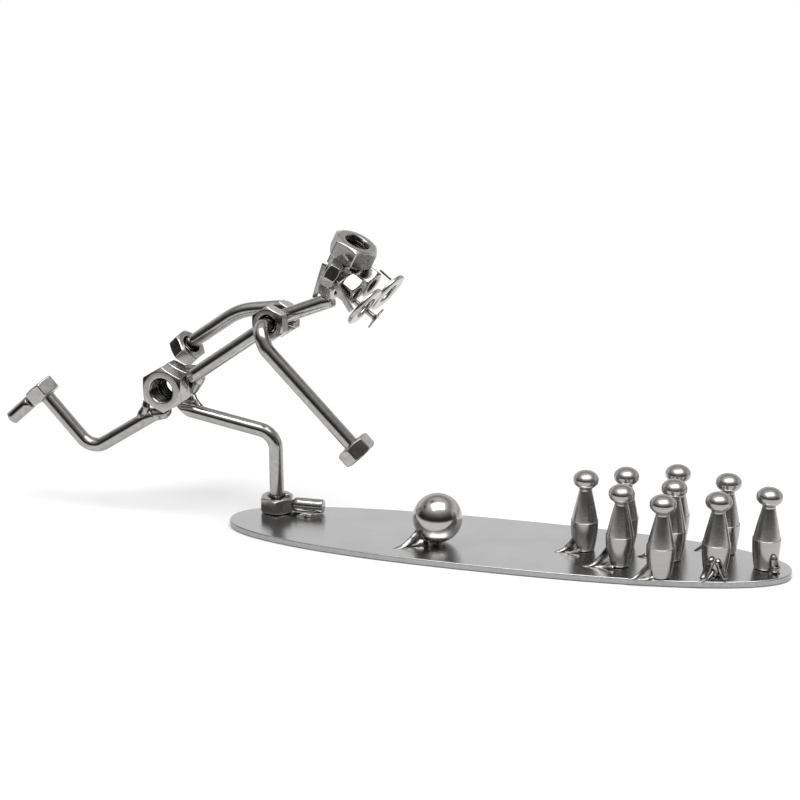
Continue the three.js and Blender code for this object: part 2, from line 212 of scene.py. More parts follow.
# ---------------------------------------------------------------- bars
def rounded_route(points, radii, fine=18):
    """Points along straight runs joined by round bends of the given radii. A bend starts its
    radius times tan(half the turn) before its corner and sweeps about the inner centre."""
    points = [np.asarray(p, float) for p in points]
    route = [points[0][None]]
    radii = np.broadcast_to(radii, len(points) - 2)
    for before, corner, after, radius in zip(points, points[1:], points[2:], radii):
        into, out = unit(corner - before), unit(after - corner)
        angle = math.acos(np.clip(into @ out, -1, 1))
        start = corner - into * radius * math.tan(angle / 2)
        side = unit(out - (out @ into) * into)
        sweep = np.linspace(0, angle, fine)[:, None]
        route.append(start + radius * (into * np.sin(sweep) + side * (1 - np.cos(sweep))))
    route.append(points[-1][None])
    return np.concatenate(route)


def spread(route, step):
    """The same route with its long runs cut into steps."""
    parts = []
    for a, b in zip(route, route[1:]):
        count = max(1, round(np.linalg.norm(b - a) / step))
        parts.append(a + (b - a) * (np.arange(count) / count)[:, None])
    return np.concatenate(parts + [route[-1:]])


def swept(route, across, upright, profile=None, ends=0.35, slant=0.0):
    """A closed profile carried along a route. At each station the profile lies square to the
    route, with its first way as near `upright` as it goes. The ends are flat with a chamfer, and
    `slant` pulls the first end forward with distance across, so that it is cut at an angle."""
    gaps = np.linalg.norm(np.diff(route, axis=0), axis=1)
    length = np.concatenate([[0], np.cumsum(gaps)])
    way = np.gradient(route, length, axis=0)
    way /= np.linalg.norm(way, axis=1)[:, None]
    up = np.asarray(upright, float)
    first = up - (way @ up)[:, None] * way
    first /= np.linalg.norm(first, axis=1)[:, None]
    second = np.cross(way, first)
    if profile is None:
        turn = np.linspace(0, TAU, 48, endpoint=False)
        profile = np.stack([np.cos(turn), np.sin(turn)], -1) * across / 2
    inner = 1 - ends / np.linalg.norm(profile, axis=1).max()
    place = np.concatenate([[0, 0, 0], np.arange(1, len(route) - 1), [-1, -1, -1]])
    scale = np.concatenate([[0, inner], np.ones(len(route)), [inner, 0]])[:, None, None]
    nudge = np.zeros(len(place))
    nudge[2], nudge[-3] = ends, -ends
    centre = route[place] + way[place] * nudge[:, None]
    points = centre[:, None] + scale * (profile[None, :, :1] * first[place][:, None]
                                        + profile[None, :, 1:] * second[place][:, None])
    cut = np.array([0, 1, 1] + [0] * (len(place) - 3))[:, None] * profile[None, :, 1] * slant
    points += cut[..., None] * way[place][:, None]
    run = (length[place] + nudge)[:, None, None] * np.ones((1, len(profile), 1))
    local = np.concatenate([scale * profile[None] * np.ones((len(place), 1, 1)), run], -1)
    return grid_shell(points, local)


BAR = 6


def bent_bar(name, node, points, radius, upright, slant=0.0):
    """Round bar bent at its corners."""
    route = spread(rounded_route(points, radius), 4)
    piece(name, [swept(route, BAR, upright, slant=slant)], DRAWN, [node])


def straight_bar(name, node):
    """Round bar where the CAD bar lies, along the node's longest way."""
    centre, ways, corners = own_axes(node)
    reach = (corners - centre) @ ways[2]
    ends = centre + np.outer([reach.min(), reach.max()], ways[2])
    piece(name, [swept(spread(ends, 2), BAR, ways[0])], DRAWN, [node])


# ---------------------------------------------------------------- turned pieces
def lathe(profile, columns=72):
    """A profile of (radius, height) turned about Z: x and y are radius times the cosine and
    sine of the turn."""
    profile = np.asarray(profile, float)
    turn = np.linspace(0, TAU, columns, endpoint=False)
    radius, height = profile[:, :1], profile[:, 1:]
    return np.stack([radius * np.cos(turn), radius * np.sin(turn),
                     np.broadcast_to(height, (len(profile), columns))], -1)


def pin_profile():
    """Half outline of a pin: a barrel foot, a shallow ledge, a cone with fine tool rings, a
    collar and a flattened ball with a crease round its middle."""
    foot = np.linspace(0, 1, 22)
    foot_r = 4.3 + 1.2 * np.sin(foot * math.pi / 2) ** 0.85
    foot_z = 0.25 + foot * 11.75
    cone = np.linspace(0, 1, 96)
    rings = 0.003 * np.sin(cone * 12.1 * TAU / 0.52)
    cone_r = 5.22 - 2.55 * cone ** 1.08 + rings
    cone_z = 12.25 + cone * 12.05
    angle = np.radians(np.linspace(-58, 90, 44))
    crease = 0.09 * np.exp(-(np.degrees(angle) / 3.2) ** 2)
    head_r = 5.1 * np.cos(angle) - crease
    head_z = 28.85 + 3.75 * np.sin(angle)
    head_r[-1] = 0
    return np.concatenate([
        [(0, 0), (3.6, 0), (4.0, 0.02), (4.22, 0.12)],
        np.stack([foot_r, foot_z], -1),
        [(5.5, 12.06), (5.46, 12.14), (5.3, 12.2)],
        np.stack([cone_r, cone_z], -1),
        [(2.6, 24.45), (2.52, 24.7), (2.55, 24.95), (2.72, 25.2), (2.75, 25.4), (2.66, 25.55)],
        np.stack([head_r, head_z], -1),
    ])


PIN = lathe(pin_profile())


def pin(number):
    """A turned pin standing where the CAD pin stands."""
    node = f"pin_{number}"
    low, high = (np.array(c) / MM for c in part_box(node))
    foot = np.array([(low[0] + high[0]) / 2, (low[1] + high[1]) / 2, low[2]])
    piece(f"turned_pin_{number}", [grid_shell(PIN + foot, PIN)], TURNED, [node])


def ball():
    """A ball turned from its half outline."""
    low, high = (np.array(c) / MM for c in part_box("bowling_ball"))
    angle = np.radians(np.linspace(-90, 90, 65))
    profile = np.stack([10 * np.cos(angle), 10 * np.sin(angle)], -1)
    profile[[0, -1], 0] = 0
    shape = lathe(profile, 96)
    centre = (low + high) / 2
    piece("steel_ball", [grid_shell(shape + centre, shape)], POLISHED, ["bowling_ball"])


def washer(name, node):
    """A punched washer: a flat ring whose upper edges are rolled over by the punch."""
    centre, ways, _ = own_axes(node)
    profile = np.array([(4.5, -0.55), (4.72, -0.75), (6.5, -0.75), (8.6, -0.75), (8.86, -0.68),
                        (9, -0.45), (9, 0), (8.96, 0.35), (8.8, 0.62), (8.5, 0.75), (6.5, 0.75),
                        (4.95, 0.75), (4.7, 0.68), (4.54, 0.5), (4.5, 0)])
    shape = lathe(profile, 96)
    place = along_local(shape, centre, ways[1], np.cross(ways[0], ways[1]), ways[0])
    piece(name, [grid_shell(place, shape)], PLATED, [node])


def nail(name, node):
    """A nail with a broad thin head: a round shank that flares into the head."""
    centre, ways, corners = own_axes(node)
    axis = ways[2]
    off = corners - centre
    radius = np.linalg.norm(off - np.outer(off @ axis, axis), axis=1)
    if (off @ axis)[np.argmax(radius)] < 0:
        axis = -axis
    start = centre + axis * (off @ axis).min()
    profile = np.array([(0, 0), (0.8, 0), (1.08, 0.25), (1.1, 2), (1.1, 6), (1.1, 11), (1.16, 11.5),
                        (1.5, 11.9), (3, 12.12), (4.7, 12.3), (4.88, 12.5), (4.88, 12.75),
                        (4.76, 12.9), (4.2, 12.95), (2, 13), (0, 13)])
    shape = lathe(profile, 64)
    side = unit(np.cross(axis, [0, 0, 1]))
    place = along_local(shape, start, side, np.cross(axis, side), axis)
    piece(name, [grid_shell(place, shape)], PLATED, [node])


# ---------------------------------------------------------------- plate
def plate(length=228.6, width=51, thick=2.5, roundness=2.31):
    """The oval plate: |x/a|^n + |y/b|^n = 1 with n a little over 2, and softened edges."""
    turn = np.linspace(0, TAU, 360, endpoint=False)
    power = 2 / roundness
    x = np.sign(np.cos(turn)) * np.abs(np.cos(turn)) ** power
    y = np.sign(np.sin(turn)) * np.abs(np.sin(turn)) ** power
    # The edge, from the underside up to the top: how far in from the outline, and how high
    edge = [(0.34, 0), (0.22, 0.05), (0.1, 0.15), (0, 0.32), (0, 0.6), (0, 1.2), (0, thick - 0.7),
            (0, thick - 0.36), (0.07, thick - 0.16), (0.2, thick - 0.05), (0.36, thick),
            (0.6, thick)]
    # The flats, as shares of the outline
    shares = (0.9, 0.6, 0.3, 0)
    under = [np.stack([x * share * length / 2, y * share * width / 2, 0 * x], -1)
             for share in shares[::-1]]
    rim = [np.stack([x * (length / 2 - inset), y * (width / 2 - inset), z + 0 * x], -1)
           for inset, z in edge]
    over = [np.stack([x * share * length / 2, y * share * width / 2, thick + 0 * x], -1)
            for share in shares]
    points = under + rim + over
    shape = np.array(points)
    return piece("oval_plate", [grid_shell(shape, shape)], PLATE_STEEL, ["base_plate"])


# ---------------------------------------------------------------- strips
def strip(name, node, bends, width, thick):
    """Flat bar bent across its flat: the route follows the node's longest way, and each bend
    is (share of the length, push out along the node's shortest way)."""
    centre, ways, corners = own_axes(node)
    reach = (corners - centre) @ ways[2]
    share = np.linspace(0, 1, 25)
    push = np.interp(share, [b[0] for b in bends], [b[1] for b in bends])
    kernel = np.array([1, 2, 3, 2, 1]) / 9
    push = np.convolve(np.pad(push, 2, mode="edge"), kernel, mode="valid")
    run = reach.min() + share * np.ptp(reach)
    route = centre + np.outer(run, ways[2]) + np.outer(push, ways[0])
    turn = np.linspace(0, TAU, 40, endpoint=False)
    soft = 2 / 7
    profile = np.stack([
        np.sign(np.cos(turn)) * np.abs(np.cos(turn)) ** soft * width / 2,
        np.sign(np.sin(turn)) * np.abs(np.sin(turn)) ** soft * thick / 2], -1)
    piece(name, [swept(route, width, ways[1], profile, 0.12)], DRAWN, [node])


# ---------------------------------------------------------------- welds
def bead(points, radii, seed, lump=0.16):
    """A run of weld: a round section carried along a smooth curve through the points, its
    radius eased between the given radii, swollen and pinched by seeded ripples, closed to a
    point at both ends."""
    points = np.asarray(points, float)
    stations = np.linspace(0, len(points) - 1, 14 * (len(points) - 1) + 1)
    knots = np.arange(len(points))
    route = np.stack([np.interp(stations, knots, points[:, k]) for k in range(3)], -1)
    kernel = np.hanning(11)
    kernel /= kernel.sum()
    ends = route[[0, -1]].copy()
    padded = np.pad(route, ((5, 5), (0, 0)), mode="edge")
    route = np.stack([np.convolve(padded[:, k], kernel, mode="valid") for k in range(3)], -1)
    route[[0, -1]] = ends
    radius = np.interp(stations, knots, radii)
    cap = np.sqrt(np.clip(np.minimum(np.arange(len(route)), len(route) - 1 -
                                     np.arange(len(route))) / 5, 0, 1))
    turn = np.linspace(0, TAU, 28, endpoint=False)
    way = np.gradient(route, axis=0)
    way /= np.linalg.norm(way, axis=1)[:, None] + 1e-9
    up = unit([0.1, 0.2, 1])
    first = up - (way @ up)[:, None] * way
    first /= np.linalg.norm(first, axis=1)[:, None]
    second = np.cross(way, first)
    u, v = np.meshgrid(turn, stations * 1.1, indexing="xy")
    wavy = 1 + lump * ripple(u, v, seed)
    size = (radius * cap)[:, None] * wavy
    offset = (first[:, None] * np.cos(turn)[None, :, None]
              + second[:, None] * np.sin(turn)[None, :, None])
    grid = route[:, None] + offset * size[..., None]
    grid[0], grid[-1] = route[0], route[-1]
    return grid_shell(grid, grid)


def web(tip, root, height, width, seed, lean=0.0):
    """A web of weld run out along the plate: from its tip to its root the ridge climbs as
    share to the power 2.1 and the foot widens, both swollen by seeded ripples. `lean` carries
    the ridge sideways."""
    tip, root = np.array([*tip, 2.45]), np.array([*root, 2.45])
    way = root - tip
    side = unit(np.cross([0, 0, 1], way))
    share = np.linspace(0, 1, 40)[:, None]
    turn = np.linspace(0, TAU, 36, endpoint=False)[None]
    wavy = 1 + 0.13 * ripple(turn + 0 * share, share * 5 + 0 * turn, seed)
    up = 0.35 + (height - 0.35) * share ** 2.1
    half = width / 2 * (0.12 + 0.5 * share ** 0.5 + 0.38 * share ** 2)
    ease = np.sqrt(np.clip(share * 9, 0, 1)) * (share < 1)
    across = half * wavy * ease * np.sign(np.cos(turn)) * np.abs(np.cos(turn)) ** 1.25
    rise = np.where(np.sin(turn) > 0, up * wavy, 0.06) * ease * np.sin(turn)
    across = across + lean * np.clip(rise, 0, None)
    grid = (tip + way * share[..., None] + side * across[..., None]
            + np.array([0, 0, 1]) * rise[..., None])
    return grid_shell(grid, grid)


def weld(name, node, beads):
    """One weld: webs and beads that run into each other."""
    shells = [web(*b) if np.ndim(b[0]) == 1 else bead(*b) for b in beads]
    piece(name, shells, WELD, [node] if node else [])


# ---------------------------------------------------------------- materials
def linear(colour):
    """An sRGB hex colour as linear red, green, blue and alpha."""
    parts = [int(colour[i:i + 2], 16) / 255 for i in (1, 3, 5)]
    return tuple(c / 12.92 if c <= 0.04045 else ((c + 0.055) / 1.055) ** 2.4 for c in parts) + (1,)


def add(tree, kind, settings=None, **links):
    """A node with its settings, which are socket names or node properties, and its links."""
    made = tree.nodes.new(kind)
    for key, value in (settings or {}).items():
        if key[1:].isdigit():
            made.inputs[int(key[1:])].default_value = value
        elif key in made.inputs:
            made.inputs[key].default_value = value
        else:
            setattr(made, key, value)
    for key, source in links.items():
        where = int(key[1:]) if key[1:].isdigit() else key.replace("_", " ")
        socket = made.inputs[where]
        tree.links.new(source, socket)
    return made


def steel(name):
    """An empty material with a metal shader."""
    material = bpy.data.materials.new(name)
    material.use_nodes = True
    tree = material.node_tree
    tree.nodes.clear()
    shader = add(tree, "ShaderNodeBsdfPrincipled", {"Metallic": 1.0})
    out = add(tree, "ShaderNodeOutputMaterial")
    tree.links.new(shader.outputs[0], out.inputs["Surface"])
    return material, tree, shader


def ramp(tree, source, stops):
    """A colour ramp through (place, sRGB hex) stops."""
    made = add(tree, "ShaderNodeValToRGB", {}, Fac=source)
    elements = made.color_ramp.elements
    while len(elements) < len(stops):
        elements.new(0.5)
    for element, (place, colour) in zip(elements, stops):
        element.position = place
        element.color = linear(colour)
    return made.outputs["Color"]


def plated_steel():
    """Bright zinc-plated carbon steel, cold headed and tapped: a slightly warm grey mirror, a
    little cloudy and scuffed, with turning rings on the faces and the threads painted dark as
    shade."""
    material, tree, shader = steel("bright zinc-plated steel")
    local = add(tree, "ShaderNodeAttribute", {"attribute_name": "local"}).outputs["Vector"]
    world = add(tree, "ShaderNodeTexCoord").outputs["Object"]
    split = add(tree, "ShaderNodeSeparateXYZ", {}, Vector=local)
    square_x = add(tree, "ShaderNodeMath", {"operation": "MULTIPLY"},
                   _0=split.outputs["X"], _1=split.outputs["X"])
    square_y = add(tree, "ShaderNodeMath", {"operation": "MULTIPLY_ADD"},
                   _0=split.outputs["Y"], _1=split.outputs["Y"], _2=square_x.outputs[0])
    radius = add(tree, "ShaderNodeMath", {"operation": "SQRT"}, _0=square_y.outputs[0])
    rings_at = add(tree, "ShaderNodeCombineXYZ", {}, X=radius.outputs[0])
    # Turning rings about 0.25 mm apart
    rings = add(tree, "ShaderNodeTexNoise", {"Scale": 4000.0, "Detail": 2.0},
                Vector=rings_at.outputs[0])
    # Cloudy patches 3 mm across
    cloud = add(tree, "ShaderNodeTexNoise", {"Scale": 330.0, "Detail": 5.0, "Roughness": 0.6},
                Vector=world)
    # Scuffs 1.2 mm across
    scuff = add(tree, "ShaderNodeTexNoise", {"Scale": 800.0, "Detail": 2.0}, Vector=world)
    # Painted shade: the threads are painted dark grey where the deep bore lies in shade
    bore = add(tree, "ShaderNodeAttribute", {"attribute_name": "bore"}).outputs["Fac"]
    # The cloudy grey of the metal outside the threads, under the painted shade
    clean = ramp(tree, cloud.outputs["Fac"], [(0.3, "#9a9896"), (0.7, "#b4b2b0")])
    # Painted shade: the `bore` attribute mixes this dark grey over the threads
    colour = add(tree, "ShaderNodeMix", {"data_type": "RGBA", "_7": linear("#3e3c3a")},
                 _0=bore, _6=clean)
    tree.links.new(colour.outputs[2], shader.inputs["Base Color"])
    rough = add(tree, "ShaderNodeMapRange", {"To Min": 0.12, "To Max": 0.26},
                Value=cloud.outputs["Fac"])
    tree.links.new(rough.outputs[0], shader.inputs["Roughness"])
    first = add(tree, "ShaderNodeBump", {"Strength": 0.08, "Distance": 0.00005},
                Height=rings.outputs["Fac"])
    second = add(tree, "ShaderNodeBump", {"Strength": 0.1, "Distance": 0.00005},
                 Height=scuff.outputs["Fac"], Normal=first.outputs[0])
    tree.links.new(second.outputs[0], shader.inputs["Normal"])
    return material


def drawn_steel():
    """Bright drawn mild steel bar: long fine streaks from the die along the bar, over a clean
    grey that mirrors softly."""
    material, tree, shader = steel("bright drawn steel bar")
    local = add(tree, "ShaderNodeAttribute", {"attribute_name": "local"}).outputs["Vector"]
    world = add(tree, "ShaderNodeTexCoord").outputs["Object"]
    # Die streaks 0.3 mm wide and 25 mm long
    stretched = add(tree, "ShaderNodeMapping", {"Scale": (1.0, 1.0, 0.012)}, Vector=local)
    streaks = add(tree, "ShaderNodeTexNoise", {"Scale": 3300.0, "Detail": 2.0},
                  Vector=stretched.outputs[0])
    # Handling marks 2 mm across
    cloud = add(tree, "ShaderNodeTexNoise", {"Scale": 500.0, "Detail": 5.0}, Vector=world)
    tree.links.new(ramp(tree, cloud.outputs["Fac"], [(0.3, "#969593"), (0.7, "#aaa9a6")]),
                   shader.inputs["Base Color"])
    rough = add(tree, "ShaderNodeMapRange", {"To Min": 0.12, "To Max": 0.22},
                Value=streaks.outputs["Fac"])
    tree.links.new(rough.outputs[0], shader.inputs["Roughness"])
    first = add(tree, "ShaderNodeBump", {"Strength": 0.14, "Distance": 0.00006},
                Height=streaks.outputs["Fac"])
    second = add(tree, "ShaderNodeBump", {"Strength": 0.1, "Distance": 0.0001},
                 Height=cloud.outputs["Fac"], Normal=first.outputs[0])
    tree.links.new(second.outputs[0], shader.inputs["Normal"])
    return material


def turned_steel():
    """Free-cutting steel turned on a lathe: fine level rings left by the tool on the cone, and
    an almost smooth foot."""
    material, tree, shader = steel("turned free-cutting steel")
    local = add(tree, "ShaderNodeAttribute", {"attribute_name": "local"}).outputs["Vector"]
    world = add(tree, "ShaderNodeTexCoord").outputs["Object"]
    # Tool rings about 0.3 mm apart that waver slightly round the pin
    flattened = add(tree, "ShaderNodeMapping", {"Scale": (0.03, 0.03, 1.0)}, Vector=local)
    rings = add(tree, "ShaderNodeTexNoise", {"Scale": 3200.0, "Detail": 3.0},
                Vector=flattened.outputs[0])
    # Stains 4 mm across
    cloud = add(tree, "ShaderNodeTexNoise", {"Scale": 260.0, "Detail": 5.0}, Vector=world)
    tree.links.new(ramp(tree, rings.outputs["Fac"], [(0.3, "#9e9c9a"), (0.7, "#acaaa8")]),
                   shader.inputs["Base Color"])
    rough = add(tree, "ShaderNodeMapRange", {"To Min": 0.18, "To Max": 0.32},
                Value=cloud.outputs["Fac"])
    tree.links.new(rough.outputs[0], shader.inputs["Roughness"])
    # The rings are only on the cone, from 12 mm up
    height = add(tree, "ShaderNodeSeparateXYZ", {}, Vector=local)
    cone = add(tree, "ShaderNodeMapRange", {"From Min": 0.0118, "From Max": 0.0124,
                                            "To Min": 0.15, "To Max": 1.0},
               Value=height.outputs["Z"])
    cut = add(tree, "ShaderNodeMath", {"operation": "MULTIPLY"},
              _0=rings.outputs["Fac"], _1=cone.outputs[0])
    bump = add(tree, "ShaderNodeBump", {"Strength": 0.14, "Distance": 0.00003},
               Height=cut.outputs[0])
    tree.links.new(bump.outputs[0], shader.inputs["Normal"])
    return material


def polished_ball():
    """Ground and tumbled bearing steel: an even mirror with a soft bloom and hair scratches."""
    material, tree, shader = steel("tumbled bearing steel")
    world = add(tree, "ShaderNodeTexCoord").outputs["Object"]
    # Bloom 5 mm across and hair scratches 0.3 mm apart
    cloud = add(tree, "ShaderNodeTexNoise", {"Scale": 200.0, "Detail": 5.0}, Vector=world)
    leaning = add(tree, "ShaderNodeMapping",
                  {"Rotation": (0.5, 0.7, 0.2), "Scale": (1.0, 0.06, 1.0)}, Vector=world)
    hairs = add(tree, "ShaderNodeTexNoise", {"Scale": 3000.0, "Detail": 3.0},
                Vector=leaning.outputs[0])
    tree.links.new(ramp(tree, cloud.outputs["Fac"], [(0.3, "#a8a6a4"), (0.7, "#b8b6b4")]),
                   shader.inputs["Base Color"])
    rough = add(tree, "ShaderNodeMapRange", {"To Min": 0.14, "To Max": 0.2},
                Value=cloud.outputs["Fac"])
    tree.links.new(rough.outputs[0], shader.inputs["Roughness"])
    bump = add(tree, "ShaderNodeBump", {"Strength": 0.04, "Distance": 0.00003},
               Height=hairs.outputs["Fac"])
    tree.links.new(bump.outputs[0], shader.inputs["Normal"])
    return material


def rolled_plate():
    """Cold-rolled sheet, profile cut and brushed: a satin grey face that blurs what it mirrors,
    grain along its length, faint stains, and upright cut marks on its edge."""
    material, tree, shader = steel("brushed cold-rolled steel sheet")
    world = add(tree, "ShaderNodeTexCoord").outputs["Object"]
    # Grain 0.2 mm wide and 8 mm long
    grain_at = add(tree, "ShaderNodeMapping", {"Scale": (0.025, 1.0, 0.0)}, Vector=world)
    grain = add(tree, "ShaderNodeTexNoise", {"Scale": 5000.0, "Detail": 2.0},
                Vector=grain_at.outputs[0])
    # Stains 20 mm across
    stain = add(tree, "ShaderNodeTexNoise", {"Scale": 50.0, "Detail": 7.0, "Roughness": 0.6},
                Vector=world)
    # Cut marks 0.5 mm apart down the edge
    marks_at = add(tree, "ShaderNodeMapping", {"Scale": (1.0, 1.0, 0.08)}, Vector=world)
    marks = add(tree, "ShaderNodeTexNoise", {"Scale": 2000.0, "Detail": 2.0},
                Vector=marks_at.outputs[0])
    height = add(tree, "ShaderNodeSeparateXYZ", {}, Vector=world)
    on_edge = add(tree, "ShaderNodeMapRange",
                  {"From Min": 0.00235, "From Max": 0.00245, "To Min": 1.0, "To Max": 0.0},
                  Value=height.outputs["Z"])
    face = ramp(tree, stain.outputs["Fac"], [(0.3, "#c0c0c0"), (0.7, "#cccccc")])
    cut = ramp(tree, marks.outputs["Fac"], [(0.3, "#969696"), (0.7, "#a6a6a6")])
    colour = add(tree, "ShaderNodeMix", {"data_type": "RGBA"}, _0=on_edge.outputs[0],
                 _6=face, _7=cut)
    tree.links.new(colour.outputs[2], shader.inputs["Base Color"])
    rough = add(tree, "ShaderNodeMapRange", {"To Min": 0.2, "To Max": 0.27},
                Value=stain.outputs["Fac"])
    tree.links.new(rough.outputs[0], shader.inputs["Roughness"])
    first = add(tree, "ShaderNodeBump", {"Strength": 0.05, "Distance": 0.00003},
                Height=grain.outputs["Fac"])
    edge_height = add(tree, "ShaderNodeMath", {"operation": "MULTIPLY"},
                      _0=marks.outputs["Fac"], _1=on_edge.outputs[0])
    second = add(tree, "ShaderNodeBump", {"Strength": 0.25, "Distance": 0.00008},
                 Height=edge_height.outputs[0], Normal=first.outputs[0])
    tree.links.new(second.outputs[0], shader.inputs["Normal"])
    return material


def weld_metal():
    """Gas-shielded weld metal, brushed but not ground: bright, lumpy and rippled, with dark
    scale left in its hollows."""
    material, tree, shader = steel("brushed weld metal")
    world = add(tree, "ShaderNodeTexCoord").outputs["Object"]
    # Scale patches 2.4 mm across and ripples 0.6 mm apart
    scale = add(tree, "ShaderNodeTexNoise", {"Scale": 420.0, "Detail": 2.0}, Vector=world)
    ripples = add(tree, "ShaderNodeTexNoise", {"Scale": 1600.0, "Detail": 1.0}, Vector=world)
    tree.links.new(ramp(tree, scale.outputs["Fac"],
                        [(0.32, "#4c4a49"), (0.5, "#9a9896"), (0.7, "#b8b6b4")]),
                   shader.inputs["Base Color"])
    rough = add(tree, "ShaderNodeMapRange", {"To Min": 0.12, "To Max": 0.34},
                Value=scale.outputs["Fac"])
    tree.links.new(rough.outputs[0], shader.inputs["Roughness"])
    bump = add(tree, "ShaderNodeBump", {"Strength": 0.25, "Distance": 0.0001},
               Height=ripples.outputs["Fac"])
    tree.links.new(bump.outputs[0], shader.inputs["Normal"])
    return material


PLATED = plated_steel()
DRAWN = drawn_steel()
TURNED = turned_steel()
POLISHED = polished_ball()
PLATE_STEEL = rolled_plate()
WELD = weld_metal()


# ---------------------------------------------------------------- the trophy
def build_plate_and_game():
    """Plate, ball, pins and the welds that hold them."""
    plate()
    ball()
    for number in range(1, 10):
        pin(number)
    weld("ball_root_weld", "ball_weld", [
        ((-39.8, -18.3), (-29.5, -7), 9.5, 6.5, 3, 0.1),
        ((-37.5, -14.2), (-29, -10.6), 3.2, 4.5, 4),
        ([(-27.4, -11.2, 2.8), (-26, -10.6, 3.4), (-25, -10, 3)], (0.7, 1.1, 0.7), 6),
        ([(-23.4, -9.8, 2.8), (-22.4, -9.4, 3.2), (-21.6, -9, 2.9)], (0.4, 0.8, 0.5), 7),
    ])
    weld("pin_root_weld_1", "pin_weld_1", [
        ((22.6, -4.8), (31.6, 0.8), 11.5, 6, 11, -0.05),
        ((25, -3.4), (33, -3.4), 2.2, 3.6, 12),
    ])
    weld("pin_root_weld_2", "pin_weld_2", [
        ((35.6, -16), (46.4, -11), 12.5, 6.5, 13, -0.05),
        ((38, -15), (48, -15), 2.4, 4, 14),
    ])
    weld("pin_root_weld_3", "pin_weld_3", [
        ((45, 16.4), (48.2, 10.4), 9, 5.5, 15),
        ((43.6, 13), (48.6, 12.2), 2.2, 3.6, 16),
    ])
    weld("pin_root_weld_4", "pin_weld_4", [
        ((54.4, -24), (63.4, -18.4), 12.5, 5, 17, -0.04),
        ((57.6, -23.8), (63.4, -20.6), 1.6, 3.4, 18),
        ([(56.6, -17.2, 9.2), (58.8, -17.6, 9.7), (61, -17.8, 10.6)], (0.25, 0.8, 1.2), 19),
    ])
    weld("pin_root_weld_5", "pin_weld_5", [
        ((61, 4.4), (66, 1.4), 9, 5.5, 20),
        ((62.4, -0.6), (66, 0.4), 2.2, 3.6, 21),
    ])
    weld("pin_root_weld_6", "pin_weld_6", [
        ((61.4, 21.6), (66.2, 18.4), 9, 5.5, 22),
        ((63, 22.2), (66, 19), 2.2, 3.6, 23),
    ])
    weld("pin_root_weld_7", "pin_weld_7", [
        ([(81.4, -19.6, 2.7), (82.8, -17.4, 4.6), (83.8, -15.6, 8), (85.2, -14.9, 11.2)],
         (0.9, 1.5, 1.7, 1.3), 24),
        ([(90.6, -16.9, 2.8), (89.4, -15.9, 4.8), (88, -15, 7.6), (86.4, -14.8, 10.6)],
         (1.2, 1.4, 1.4, 1.2), 25),
        ((80.6, -20.6), (85, -15), 3.4, 3.6, 26),
        ([(77.4, -9.4, 10.6), (79, -9.2, 11.2), (81, -9.4, 12.6), (81.6, -9.5, 14)],
         (0.2, 0.8, 1.2, 0.5), 27),
    ])
    weld("pin_root_weld_8", "pin_weld_8", [
        ((91.4, 18.4), (88.4, 13), 9, 5.5, 28),
        ((86.4, 18), (88, 13.6), 2.2, 3.6, 29),
    ])
    weld("pin_root_weld_9", "pin_weld_9", [
        ([(107.5, -5.4, 2.8), (107.9, -4.4, 5.2), (107.2, -3.9, 8.2), (106.6, -3.6, 10)],
         (1.3, 2.0, 1.8, 0.9), 30),
        ((111, -5), (105.6, -1.4), 5, 4.4, 31),
    ])


def build_bowler():
    """The bowler, from the hips out to the hands and feet, and up to the spectacles."""
    nut("right_hip_nut", HIP)
    nut("left_hip_nut", HIP)
    nut("right_shoulder_nut", M8)
    nut("left_shoulder_nut", M8)
    bent_bar("torso_bar", "torso_rod",
             [(-132.6, 6, 59.7), (-92.5, 6, 88.1), (-70.6, 6, 96.8)], 20, (0, 1, 0))
    bent_bar("right_arm_bar", "right_arm_rod",
             [(-94.9, 0.7, 86.8), (-95.7, -12.7, 88), (-91.6, -15, 80.2), (-54.7, -15, 41.3)],
             6.5, (0.73, 0, 0.69))
    nut("right_hand_nut", M8)
    bent_bar("left_arm_bar", "left_arm_rod",
             [(-94.1, 15, 85.5), (-93.5, 25.7, 87.7), (-117.4, 26, 84.5), (-140.7, 26, 68.2)],
             (6.5, 26), (-0.3, 0, 0.95))
    nut("left_hand_nut", M8)
    bent_bar("left_leg_bar", "left_leg_rod",
             [(-139, 10.2, 44.8), (-97.8, 10.8, 36.6), (-97.8, 10.8, 4.3)], 8, (0, 1, 0),
             slant=-1.4)
    nut("left_foot_nut", M8)
    straight_bar("left_toe_bar", "left_toe_rod")
    bent_bar("right_leg_bar", "right_leg_rod",
             [(-147.6, 2, 44.1), (-176.8, 2, 25.6), (-198.8, 2, 50.6)], 8, (0, 1, 0))
    nut("right_foot_nut", M8)
    straight_bar("right_toe_bar", "right_toe_rod")

    nut("neck_nut", M8)
    nut("skull_nut", M10)
    nut("right_eye_nut", EYE)
    nut("left_eye_nut", EYE)
    nut("right_ear_nut", EAR)
    nut("left_ear_nut", EAR)
    washer("right_lens", "right_lens_ring")
    washer("left_lens", "left_lens_ring")
    nail("nose", "nose_nail")
    strip("right_temple", "right_temple_strip", [(0, 0), (0.55, 0.2), (0.8, 0.4), (1, 0)], 2.7, 0.9)
    strip("left_temple", "left_temple_strip", [(0, 0), (1, 0)], 2.2, 0.9)
    strip("nape", "nape_strip", [(0, 0), (0.5, 0.25), (1, 0)], 2, 1)
    strip("crown", "crown_strip", [(0, 0), (1, 0)], 2.2, 0.9)
    strip("crown_block", "crown_spacer", [(0, 0), (1, 0)], 4.2, 3.2)


